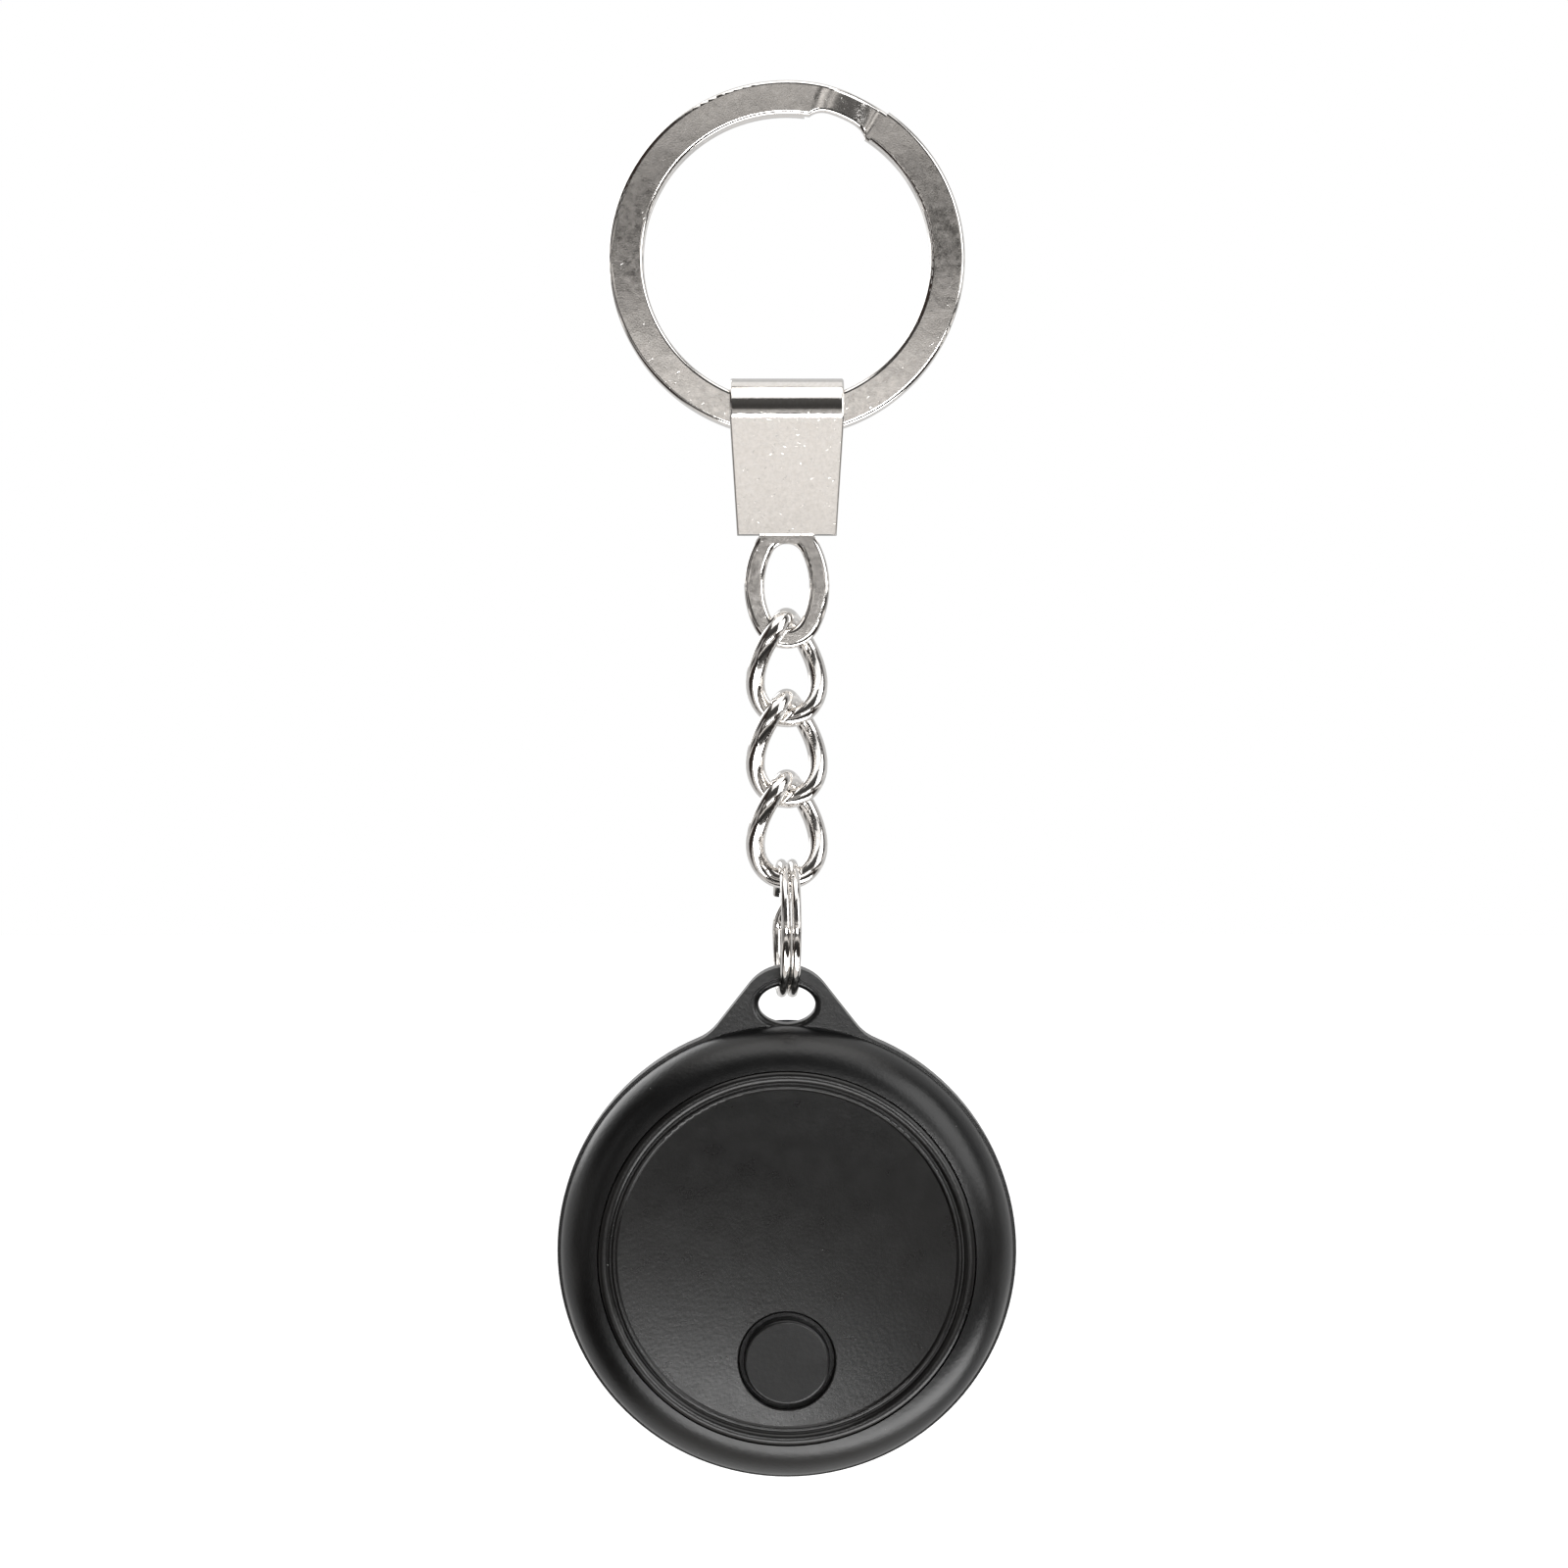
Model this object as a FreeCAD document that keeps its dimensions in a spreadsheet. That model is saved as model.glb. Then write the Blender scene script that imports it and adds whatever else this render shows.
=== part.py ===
import FreeCAD, Part
import Sketcher
import math
import os

# Tracker tag hanging from a key ring. +Z is up, the faces look towards -Y and the origin is
# the middle of the key ring. Millimetres and degrees.

doc = FreeCAD.newDocument("TrackerTag")

SIZES = [
    # key ring: one flat band coiled twice
    ("ring_outer_radius", 15.0),
    ("ring_band", 2.9),
    ("ring_layer", 1.25),
    ("ring_layer_gap", 0.06),
    ("ring_rounding", 0.35),
    ("ring_end_angle", 35.0),
    ("ring_turn_angle", 334.0),
    ("ring_joggle_angle", 24.0),
    ("ring_joggle_band", 2.2),
    # clasp: a strap folded over the ring, with a tongue caught between its legs
    ("strap_sheet", 0.7),
    ("strap_play", 0.11),
    ("strap_lift", 0.5),
    ("strap_leg", 10.2),
    ("strap_top_width", 9.6),
    ("strap_bottom_width", 8.4),
    ("strap_edge_round", 0.22),
    ("tongue_sheet", 1.2),
    ("tongue_play", 0.025),
    ("tongue_neck_width", 4.5),
    ("tongue_head_radius", 0.95),
    ("tongue_head_length", 6.6),
    ("tongue_edge", 0.45),
    ("eye_width", 7.2),
    ("eye_height", 10.55),
    ("eye_band", 1.7),
    ("eye_end_rise", 2.2),
    ("eye_drop", 14.525),
    # chain: three twisted curb links
    ("link_wire", 1.6),
    ("link_length", 10.1),
    ("link_half_width", 2.85),
    ("link_fullness", 2.3),
    ("link_top_yaw", 75.0),
    ("link_bottom_yaw", -15.0),
    ("link_play", 0.08),
    ("eye_play", 0.16),
    # small split ring
    ("split_outer_radius", 5.85),
    ("split_wire", 0.8),
    ("split_coil_gap", 0.1),
    ("split_gap_angle", 30.0),
    ("split_gap_start", 75.0),
    ("split_yaw", 4.0),
    ("split_play", 0.14),
    ("hole_play", 0.3),
    # case: round body with a tab, split near the back
    ("hang_tilt", 4.5),
    ("case_radius", 19.4),
    ("case_front", 3.9),
    ("case_back", 4.4),
    ("case_seam", 2.2),
    ("seam_gap", 0.06),
    ("dome_step", 0.25),
    ("dome_width", 3.5),
    ("shell_wall", 1.5),
    ("lap_depth", 0.8),
    ("lap_wall", 0.4),
    ("fit_play", 0.05),
    ("seat_depth", 2.85),
    ("seat_width", 1.5),
    ("seat_thickness", 0.75),
    ("roof_slope", 1.3),
    ("roof_clear", 0.2),
    ("root_depth", 0.3),
    # rear shell
    ("back_wall", 1.2),
    ("back_edge", 0.2),
    ("back_lead", 0.15),
    ("back_step", 0.05),
    ("back_curve", 3.88),
    ("back_margin", 3.4),
    ("back_slope", 1.9),
    ("back_slope_end", 0.3),
    # tab
    ("tab_rise", 0.7),
    ("tab_radius", 4.05),
    ("tab_side_angle", 38.0),
    ("tab_fillet", 4.0),
    ("tab_border", 0.75),
    ("tab_recess", 0.35),
    ("hole_half_width", 2.4),
    ("hole_half_height", 1.62),
    ("hole_rise", 1.5),
    ("hole_rim", 0.6),
    ("hole_round", 0.5),
    # front panel
    ("dish_floor", 2.65),
    ("dish_flat", 0.4),
    ("dish_edge", 3.7),
    ("panel_back", 1.95),
    ("ridge_one_radius", 0.55),
    ("ridge_two_radius", 0.25),
    ("ridge_one_width", 1.05),
    ("ridge_groove_width", 0.13),
    ("ridge_two_width", 0.52),
    ("dish_lip", 0.08),
    ("ridge_foot", 3.78),
    # button
    ("button_margin", 1.4),
    ("button_hole_round", 0.2),
    ("button_radius", 3.6),
    ("button_gap", 0.4),
    ("button_face", 3.8),
    ("button_wall", 0.75),
    ("button_flange", 1.0),
    ("button_flange_sheet", 0.3),
    ("button_travel", 0.25),
    ("button_round", 0.25),
    ("pad_radius", 1.6),
    # electronics
    ("board_front", 1.05),
    ("board_sheet", 0.6),
    ("board_play", 0.6),
    ("board_hole_play", 0.15),
    ("switch_width", 3.4),
    ("switch_height", 2.8),
    ("switch_body", 0.6),
    ("plunger_radius", 0.75),
    ("plunger_play", 0.06),
    ("plunger_proud", 0.3),
    ("boss_inset", 1.3),
    ("boss_radius", 1.3),
    ("screw_shank", 0.55),
    ("screw_play", 0.02),
    ("screw_head", 1.1),
    ("screw_head_height", 0.5),
    ("screw_length", 2.2),
    ("screw_end_play", 0.1),
    ("screw_slot", 0.3),
    ("buzzer_margin", 2.7),
    ("buzzer_radius", 6.0),
    ("buzzer_sheet", 0.1),
    ("buzzer_ceramic_radius", 4.5),
    ("buzzer_ceramic_sheet", 0.12),
    ("buzzer_leaf_width", 1.0),
    ("leaf_sheet", 0.15),
    ("leaf_inner", 0.9),
    ("leaf_edge", 0.2),
    ("leaf_tip", 0.8),
    ("leaf_run", 2.2),
    ("leaf_foot", 1.2),
    ("rest_gap", 0.01),
    ("touch_gap", 0.03),
    ("chip_width", 5.0),
    ("chip_height", 0.7),
    ("chip_offset", 10.5),
    ("crystal_length", 2.5),
    ("crystal_width", 2.0),
    ("crystal_height", 0.5),
    ("crystal_drop", 5.6),
    ("antenna_length", 7.0),
    ("antenna_width", 2.0),
    ("antenna_rise", 13.5),
    ("passive_length", 1.0),
    ("passive_width", 0.5),
    ("passive_height", 0.4),
    ("passive_pitch", 1.6),
    ("passive_offset", 10.5),
    # coin cell and its contacts
    ("cell_radius", 10.0),
    ("cell_height", 3.2),
    ("cell_front", 0.05),
    ("cell_step", 0.3),
    ("cell_step_width", 1.1),
    ("cell_chamfer", 0.2),
    ("cell_round", 0.3),
    ("cell_play", 0.25),
    ("contact_width", 3.0),
    ("negative_foot", 4.5),
    ("negative_rise", 3.5),
    ("negative_tip", 5.0),
    ("negative_gap", 0.02),
    ("positive_foot", 0.5),
    ("positive_foot_length", 1.8),
    ("positive_low", 1.3),
    ("positive_high", 1.7),
    ("positive_end", 2.0),
    ("positive_flare", 0.2),
    # battery door
    ("door_lip", 0.6),
    ("door_chamfer", 0.2),
    ("door_gap", 0.1),
    ("door_sheet", 0.98),
    ("door_skirt", 0.65),
    ("door_skirt_end", 2.2),
    ("lug_reach", 0.8),
    ("lug_sheet", 0.55),
    ("lug_angle", 22.0),
    ("notch_play", 2.0),
    ("door_turn", 30.0),
    ("collar_play", 0.7),
    ("ledge_depth", 1.6),
    ("slot_length", 12.0),
    ("slot_width", 1.8),
    ("slot_depth", 0.6),
    ("rib_angle", 4.0),
    ("rib_turn", 43.0),
    ("rib_front", 0.35),
    ("rib_root", 0.1),
    ("rib_collar_gap", 0.4),
    ("rib_wall_gap", 1.6),
    ("rib_door_gap", 0.15),
]


class Size:
    """A number together with the sheet expression it comes from."""

    def __init__(self, value, text):
        self.value = value
        self.text = text

    def __add__(self, other):
        other = as_size(other)
        return Size(self.value + other.value, f"({self.text} + {other.text})")

    def __sub__(self, other):
        other = as_size(other)
        return Size(self.value - other.value, f"({self.text} - {other.text})")

    def __mul__(self, other):
        other = as_size(other)
        return Size(self.value * other.value, f"({self.text} * {other.text})")

    def __truediv__(self, other):
        other = as_size(other)
        return Size(self.value / other.value, f"({self.text} / {other.text})")

    def __neg__(self):
        return Size(-self.value, f"(0 - {self.text})")

    def __rsub__(self, other):
        return as_size(other) - self

    __radd__ = __add__
    __rmul__ = __mul__


def as_size(number):
    return number if isinstance(number, Size) else Size(float(number), f"({float(number)})")


def sine(angle):
    return Size(math.sin(math.radians(angle.value)), f"sin({angle.text} * 1 deg)")


def cosine(angle):
    return Size(math.cos(math.radians(angle.value)), f"cos({angle.text} * 1 deg)")


def tangent(angle):
    return sine(angle) / cosine(angle)


def root(size):
    return Size(math.sqrt(size.value), f"sqrt({size.text})")


def arc_sine(ratio):
    return Size(math.degrees(math.asin(ratio.value)), f"(asin({ratio.text}) / 1 deg)")


def arc_tangent(ratio):
    return Size(math.degrees(math.atan(ratio.value)), f"(atan({ratio.text}) / 1 deg)")


class Table:
    pass


def make_sheet(rows):
    sheet = doc.addObject("Spreadsheet::Sheet", "Sizes")
    table = Table()
    for number, (alias, value) in enumerate(rows, start=1):
        sheet.set(f"A{number}", str(value))
        sheet.setAlias(f"A{number}", alias)
        setattr(table, alias, Size(value, f"Sizes.{alias}"))
    doc.recompute()
    return table


S = make_sheet(SIZES)
NODES = []
OVER = 1  # how far a cut runs past what it cuts
NEAR = 0.02  # how close an edge lies to the place it is picked by

# Sizes that follow from the others
split_pitch = S.split_wire + S.split_coil_gap
tab_centre = S.case_radius + S.tab_rise
hole_centre = S.case_radius + S.hole_rise
bezel_opening = S.case_radius - S.dome_width
ridge_one_inner = bezel_opening - S.ridge_one_width
ridge_groove = ridge_one_inner - S.ridge_groove_width
dish_radius = ridge_groove - S.ridge_two_width
button_drop = dish_radius - S.button_margin - S.button_gap - S.button_radius
buzzer_centre = S.buzzer_margin + S.button_flange + S.button_radius + S.buzzer_radius - button_drop
cavity = S.case_radius - S.shell_wall
board_radius = cavity - S.board_play
boss_circle = board_radius - S.boss_inset
door_skirt_inner = S.cell_radius + S.cell_play
door_skirt_radius = door_skirt_inner + S.door_skirt
door_radius = door_skirt_radius + S.door_lip
lug_radius = door_radius + S.lug_reach
collar_radius = lug_radius + S.collar_play


# ---------------------------------------------------------------------------
# Sketches
# ---------------------------------------------------------------------------
def bind(obj, prop, size, unit="mm"):
    obj.setExpression(prop, f"{as_size(size).text} * 1 {unit}")


def origin_feature(body, role):
    return next(item for item in body.Origin.OriginFeatures if item.Role == role)


def new_body(label):
    body = doc.addObject("PartDesign::Body", label)
    body.Label = label
    NODES.append(body)
    return body


def new_sketch(body, name, plane, offset=0, turn=0):
    """Sketch on one of the body's own planes, moved along its normal or turned about its own x axis."""
    sketch = body.newObject("Sketcher::SketchObject", name)
    sketch.AttachmentSupport = [(origin_feature(body, plane), "")]
    sketch.MapMode = "FlatFace"
    offset = as_size(offset)
    turn = as_size(turn)
    rotation = FreeCAD.Rotation(FreeCAD.Vector(1, 0, 0), turn.value)
    sketch.AttachmentOffset = FreeCAD.Placement(FreeCAD.Vector(0, 0, offset.value), rotation)
    if offset.value:
        bind(sketch, "AttachmentOffset.Base.z", offset)
    if turn.value:
        bind(sketch, "AttachmentOffset.Rotation.Angle", turn, "deg")
    return sketch


def constrain(sketch, size, *items):
    index = sketch.addConstraint(Sketcher.Constraint(*items, as_size(size).value))
    if "Sizes." in as_size(size).text:
        bind(sketch, f"Constraints[{index}]", size)


def pin(sketch, edge, end, u, v):
    """Ties one end of an edge to its distances from the sketch's origin."""
    for kind, axis, size in (("DistanceX", -2, u), ("DistanceY", -1, v)):
        if as_size(size).value == 0:
            sketch.addConstraint(Sketcher.Constraint("PointOnObject", edge, end, axis))
        else:
            constrain(sketch, size, kind, -1, 1, edge, end)


def arc_between(a, b, radius):
    """Arc from a to b. A positive radius bulges to the left of the way, a negative one to the right."""
    along = (b - a).normalize()
    left = FreeCAD.Vector(-along.y, along.x, 0)
    half = a.distanceToPoint(b) / 2
    reach = math.sqrt(max(radius * radius - half * half, 0))
    side = 1 if radius > 0 else -1
    centre = (a + b) / 2 - left * (reach * side)
    first, last = (b, a) if side > 0 else (a, b)
    low, high = [math.atan2(point.y - centre.y, point.x - centre.x) for point in (first, last)]
    if high <= low:
        high += 2 * math.pi
    return Part.ArcOfCircle(Part.Circle(centre, FreeCAD.Vector(0, 0, 1), abs(radius)), low, high)


def fix_arc(sketch, edge, a, b, radius, corner):
    """Holds an arc's radius, or for a half circle the level of its centre."""
    if abs(a.distanceToPoint(b) / 2 - abs(radius.value)) > 1e-6:
        constrain(sketch, radius if radius.value > 0 else -radius, "Radius", edge)
        return
    level = abs(a.y - b.y) < 1e-6
    size = as_size(corner[1] if level else corner[0])
    if size.value == 0:
        sketch.addConstraint(Sketcher.Constraint("PointOnObject", edge, 3, -1 if level else -2))
    else:
        constrain(sketch, size, "DistanceY" if level else "DistanceX", -1, 1, edge, 3)


def outline(sketch, corners):
    """Closed outline. A corner with a third item starts an arc of that radius instead of a line."""
    points = [FreeCAD.Vector(as_size(c[0]).value, as_size(c[1]).value, 0) for c in corners]
    edges = []
    for index, corner in enumerate(corners):
        a, b = points[index], points[(index + 1) % len(points)]
        if len(corner) == 3:
            radius = as_size(corner[2]).value
            edge = sketch.addGeometry(arc_between(a, b, radius), False)
            edges.append((edge, (2, 1) if radius > 0 else (1, 2)))
        else:
            edges.append((sketch.addGeometry(Part.LineSegment(a, b), False), (1, 2)))
    for index, corner in enumerate(corners):
        edge, ends = edges[index]
        before, before_ends = edges[index - 1]
        sketch.addConstraint(Sketcher.Constraint("Coincident", before, before_ends[1], edge, ends[0]))
        pin(sketch, edge, ends[0], corner[0], corner[1])
        if len(corner) == 3:
            a, b = points[index], points[(index + 1) % len(points)]
            fix_arc(sketch, edge, a, b, as_size(corner[2]), corner)


def circle(sketch, u, v, radius):
    centre = FreeCAD.Vector(as_size(u).value, as_size(v).value, 0)
    edge = sketch.addGeometry(Part.Circle(centre, FreeCAD.Vector(0, 0, 1), as_size(radius).value), False)
    pin(sketch, edge, 3, u, v)
    constrain(sketch, radius, "Radius", edge)


def ellipse(sketch, v, half_width, half_height):
    """Ellipse centred on the sketch's y axis, wider than it is tall."""
    centre = FreeCAD.Vector(0, v.value, 0)
    major = centre + FreeCAD.Vector(half_width.value, 0, 0)
    minor = centre + FreeCAD.Vector(0, half_height.value, 0)
    edge = sketch.addGeometry(Part.Ellipse(major, minor, centre), False)
    sketch.exposeInternalGeometry(edge)
    pin(sketch, edge, 3, 0, v)
    sketch.addConstraint(Sketcher.Constraint("Horizontal", edge + 1))
    constrain(sketch, half_width * 2, "Distance", edge + 1)
    constrain(sketch, half_height * 2, "Distance", edge + 2)


def rectangle(u_low, u_high, v_low, v_high):
    return [(u_low, v_low), (u_high, v_low), (u_high, v_high), (u_low, v_high)]


def rounded_rectangle(u_low, u_high, v_low, v_high, r):
    return [
        (u_low + r, v_low), (u_high - r, v_low, -r),
        (u_high, v_low + r), (u_high, v_high - r, -r),
        (u_high - r, v_high), (u_low + r, v_high, -r),
        (u_low, v_high - r), (u_low, v_low + r, -r),
    ]


def oval_outline(half_width, half_height, rise, middle):
    """Upright oval of four smooth arcs; rise is how far its end arcs' centres lie from its middle."""
    spare = half_width - half_height + rise
    aside = (rise * rise - spare * spare) / (spare * 2)
    end_radius = half_height - rise
    side_radius = half_width + aside
    reach = side_radius - end_radius
    across = end_radius * aside / reach
    up = rise + end_radius * rise / reach
    return [
        (across, middle + up, -end_radius), (-across, middle + up, -side_radius),
        (-across, middle - up, -end_radius), (across, middle - up, -side_radius),
    ]


# ---------------------------------------------------------------------------
# Features
# ---------------------------------------------------------------------------
def slab(body, name, plane, draw, low, high, cut=False):
    """Straight solid or cut between two levels: along X on YZ_Plane, along Y on XZ_Plane."""
    low, high = as_size(low), as_size(high)
    start = -high if plane == "XZ_Plane" else low
    sketch = new_sketch(body, name + "Sketch", plane, start)
    draw(sketch)
    feature = body.newObject("PartDesign::Pocket" if cut else "PartDesign::Pad", name)
    feature.Profile = sketch
    feature.Length = (high - low).value
    bind(feature, "Length", high - low)
    feature.Reversed = cut
    body.Tip = feature
    return feature


def turned(body, name, sketch, angle=360, cut=False):
    """Revolved solid or cut about the sketch's x axis, which is the body's Y axis."""
    feature = body.newObject("PartDesign::Groove" if cut else "PartDesign::Revolution", name)
    feature.Profile = sketch
    feature.ReferenceAxis = (sketch, ["H_Axis"])
    feature.Angle = as_size(angle).value
    bind(feature, "Angle", angle, "deg")
    body.Tip = feature
    return feature


def lathe(body, name, corners, cut=False, angle=360, turn=0):
    """Corners are (depth along Y, radius)."""
    sketch = new_sketch(body, name + "Sketch", "YZ_Plane", turn=turn)
    outline(sketch, corners)
    return turned(body, name, sketch, angle, cut)


def around(body, name, features, count):
    pattern = body.newObject("PartDesign::PolarPattern", name)
    pattern.Originals = features
    pattern.Axis = (origin_feature(body, "Y_Axis"), [""])
    pattern.Angle = 360
    pattern.Occurrences = count
    body.Tip = pattern
    return pattern


def dress(body, kind, name, size, wanted):
    """Fillet or Chamfer on the tip's edges that pass the test."""
    doc.recompute()
    base = body.Tip
    names = [f"Edge{n}" for n, edge in enumerate(base.Shape.Edges, start=1) if wanted(edge)]
    feature = body.newObject("PartDesign::" + kind, name)
    feature.Base = (base, names)
    prop = "Radius" if kind == "Fillet" else "Size"
    setattr(feature, prop, as_size(size).value)
    bind(feature, prop, size)
    body.Tip = feature
    return feature


def flat_at(edge, axis, level, tolerance=1e-4):
    """True for an edge that lies wholly at one level of an axis."""
    marks = [edge.valueAt(edge.FirstParameter + (edge.LastParameter - edge.FirstParameter) * part / 4)
             for part in range(5)]
    return all(abs(getattr(mark, axis) - level) < tolerance for mark in marks)


def lower(body, drop):
    body.Placement = FreeCAD.Placement(FreeCAD.Vector(0, 0, -drop.value), FreeCAD.Rotation())
    bind(body, "Placement.Base.z", -drop)


# ---------------------------------------------------------------------------
# Levels of the hanging chain, measured down from the middle of the key ring
# ---------------------------------------------------------------------------
ring_middle = S.ring_outer_radius - S.ring_band / 2
ring_depth = S.ring_layer * 2 + S.ring_layer_gap
strap_drop = ring_middle - S.strap_lift
band_reach = S.ring_band / 2 + S.strap_lift
band_corner = root(band_reach * band_reach + ring_depth * ring_depth / 4) - S.ring_rounding * (math.sqrt(2) - 1)
strap_bore = band_corner + S.strap_play
eye_floor = strap_drop + S.eye_drop + S.eye_height / 2 - S.eye_band
link_step = S.link_length - S.link_wire * 2 - S.link_play
link_one = eye_floor - S.link_wire - S.eye_play + S.link_length / 2
chain_end = link_one + link_step * 2 + S.link_length / 2
split_top = chain_end - S.link_wire - S.split_play - S.split_wire
split_drop = split_top + S.split_outer_radius
hole_top = split_drop + S.split_outer_radius - S.split_wire - S.hole_play
hole_drop = hole_top + S.hole_half_height

# ---------------------------------------------------------------------------
# Key ring
# ---------------------------------------------------------------------------
def ring_section(name, angle, centre, band):
    sketch = new_sketch(key_ring, name, "YZ_Plane", turn=angle)
    half = S.ring_layer / 2
    outer = S.ring_outer_radius
    outline(sketch, rounded_rectangle(centre - half, centre + half, outer - band, outer, S.ring_rounding))
    return sketch


key_ring = new_body("key_ring")
layer_offset = (S.ring_layer + S.ring_layer_gap) / 2
turned(key_ring, "FrontTurn", ring_section("FrontSection", 0, -layer_offset, S.ring_band), S.ring_turn_angle)
JOGGLE_STEPS = 8
joggle = []
for step in range(JOGGLE_STEPS + 1):
    part = step / JOGGLE_STEPS
    ease = part * part * (3 - 2 * part)
    narrowing = 1 - abs(2 * part - 1) ** 4
    joggle.append(ring_section(
        f"JoggleSection{step}",
        S.ring_turn_angle + S.ring_joggle_angle * part,
        layer_offset * (2 * ease - 1),
        S.ring_band - (S.ring_band - S.ring_joggle_band) * narrowing,
    ))
loft = key_ring.newObject("PartDesign::AdditiveLoft", "Joggle")
loft.Profile = joggle[0]
loft.Sections = joggle[1:]
key_ring.Tip = loft
back_start = S.ring_turn_angle + S.ring_joggle_angle
turned(key_ring, "BackTurn", ring_section("BackSection", back_start, layer_offset, S.ring_band), S.ring_turn_angle)
key_ring.Placement = FreeCAD.Placement(
    FreeCAD.Vector(), FreeCAD.Rotation(FreeCAD.Vector(0, 1, 0), S.ring_end_angle.value))
bind(key_ring, "Placement.Rotation.Angle", S.ring_end_angle, "deg")

# ---------------------------------------------------------------------------
# Clasp. Its own origin is the middle of the roll that wraps the key ring.
# ---------------------------------------------------------------------------
bore = strap_bore
roll = bore + S.strap_sheet
leg = S.strap_leg
grip = S.tongue_sheet / 2 + S.tongue_play
TAPER_START = 0.25  # share of the bore below its middle where the legs start to narrow
lean = arc_sine(bore / root(leg * leg + grip * grip)) - arc_tangent(grip / leg)
lean_cos = cosine(lean)
lean_sin = sine(lean)
leg_outside = roll / lean_cos - leg * tangent(lean)

clasp_strap = new_body("clasp_strap")
slab(clasp_strap, "Fold", "YZ_Plane", lambda sketch: outline(sketch, [
    (leg_outside, -leg),
    (roll * lean_cos, -roll * lean_sin, -roll),
    (0, roll, -roll),
    (-roll * lean_cos, -roll * lean_sin),
    (-leg_outside, -leg),
    (-grip, -leg),
    (-bore * lean_cos, -bore * lean_sin, bore),
    (0, bore, bore),
    (bore * lean_cos, -bore * lean_sin),
    (grip, -leg),
]), -S.strap_top_width / 2, S.strap_top_width / 2)
for side, name in ((1, "RightTaper"), (-1, "LeftTaper")):
    top = S.strap_top_width / 2 * side
    bottom = S.strap_bottom_width / 2 * side
    slab(clasp_strap, name, "XZ_Plane", lambda sketch, top=top, bottom=bottom, side=side: outline(sketch, [
        (top, -bore * TAPER_START), (bottom, -leg), (bottom, -leg - OVER), (top + OVER * side, -leg - OVER),
        (top + OVER * side, -bore * TAPER_START),
    ]), -roll - OVER, roll + OVER, cut=True)


def outside_fold(edge):
    """True on the strap's outer surface, away from its bottom edge."""
    mark = edge.valueAt((edge.FirstParameter + edge.LastParameter) / 2)
    reach = math.hypot(mark.y, mark.z) if mark.z > -roll.value * lean_sin.value else \
        abs(mark.y) * lean_cos.value - mark.z * lean_sin.value
    return abs(reach - roll.value) < NEAR and abs(mark.x) > S.strap_bottom_width.value / 2 - NEAR


dress(clasp_strap, "Fillet", "SideRound", S.strap_edge_round, outside_fold)
lower(clasp_strap, strap_drop)

clasp_tongue = new_body("clasp_tongue")
half_sheet = S.tongue_sheet / 2
slab(clasp_tongue, "Eye", "XZ_Plane", lambda sketch: outline(sketch, oval_outline(
    S.eye_width / 2, S.eye_height / 2, S.eye_end_rise, -S.eye_drop)), -half_sheet, half_sheet)
slab(clasp_tongue, "EyeHole", "XZ_Plane", lambda sketch: outline(sketch, oval_outline(
    S.eye_width / 2 - S.eye_band, S.eye_height / 2 - S.eye_band, S.eye_end_rise, -S.eye_drop)),
    -half_sheet - OVER, half_sheet + OVER, cut=True)
dress(clasp_tongue, "Fillet", "EyeRound", S.tongue_edge,
      lambda edge: flat_at(edge, "y", half_sheet.value) or flat_at(edge, "y", -half_sheet.value))
head_drop = (bore - S.tongue_head_radius - S.tongue_play) / lean_sin
slab(clasp_tongue, "Neck", "XZ_Plane", lambda sketch: outline(sketch, rectangle(
    -S.tongue_neck_width / 2, S.tongue_neck_width / 2, S.eye_height / 2 - S.eye_band - S.eye_drop, -head_drop)),
    -half_sheet, half_sheet)
slab(clasp_tongue, "Head", "YZ_Plane", lambda sketch: circle(sketch, 0, -head_drop, S.tongue_head_radius),
     -S.tongue_head_length / 2, S.tongue_head_length / 2)
lower(clasp_tongue, strap_drop)


# ---------------------------------------------------------------------------
# Bent wire: a round section swept along a centreline
# ---------------------------------------------------------------------------
def bent_wire(label, spine, start, heading, wire_radius):
    path = doc.addObject("Part::Feature", label + "_centreline")
    path.Shape = spine
    section = doc.addObject("Part::Circle", label + "_section")
    section.Radius = wire_radius.value
    bind(section, "Radius", wire_radius)
    section.Placement = FreeCAD.Placement(start, FreeCAD.Rotation(FreeCAD.Vector(0, 0, 1), heading))
    wire = doc.addObject("Part::Sweep", label)
    wire.Sections = [section]
    wire.Spine = (path, ["Edge1"])
    wire.Solid = True
    wire.Frenet = False
    wire.Label = label
    return wire


LINK_MARKS = 24


def link_centreline():
    """Flat oval wound about the upright axis, so that its two ends stand square to each other."""
    half_length = (S.link_length.value - S.link_wire.value) / 2
    power = 2 / S.link_fullness.value
    marks = []
    for index in range(LINK_MARKS):
        angle = 2 * math.pi * index / LINK_MARKS - math.pi / 2
        across = math.copysign(abs(math.cos(angle)) ** power, math.cos(angle)) * S.link_half_width.value
        height = math.copysign(abs(math.sin(angle)) ** power, math.sin(angle)) * half_length
        share = (height / half_length + 1) / 2
        yaw = math.radians(S.link_bottom_yaw.value + (S.link_top_yaw.value - S.link_bottom_yaw.value) * share)
        marks.append(FreeCAD.Vector(across * math.cos(yaw), across * math.sin(yaw), height))
    curve = Part.BSplineCurve()
    curve.interpolate(marks, PeriodicFlag=True)
    return curve, marks[LINK_MARKS // 2]


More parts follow.
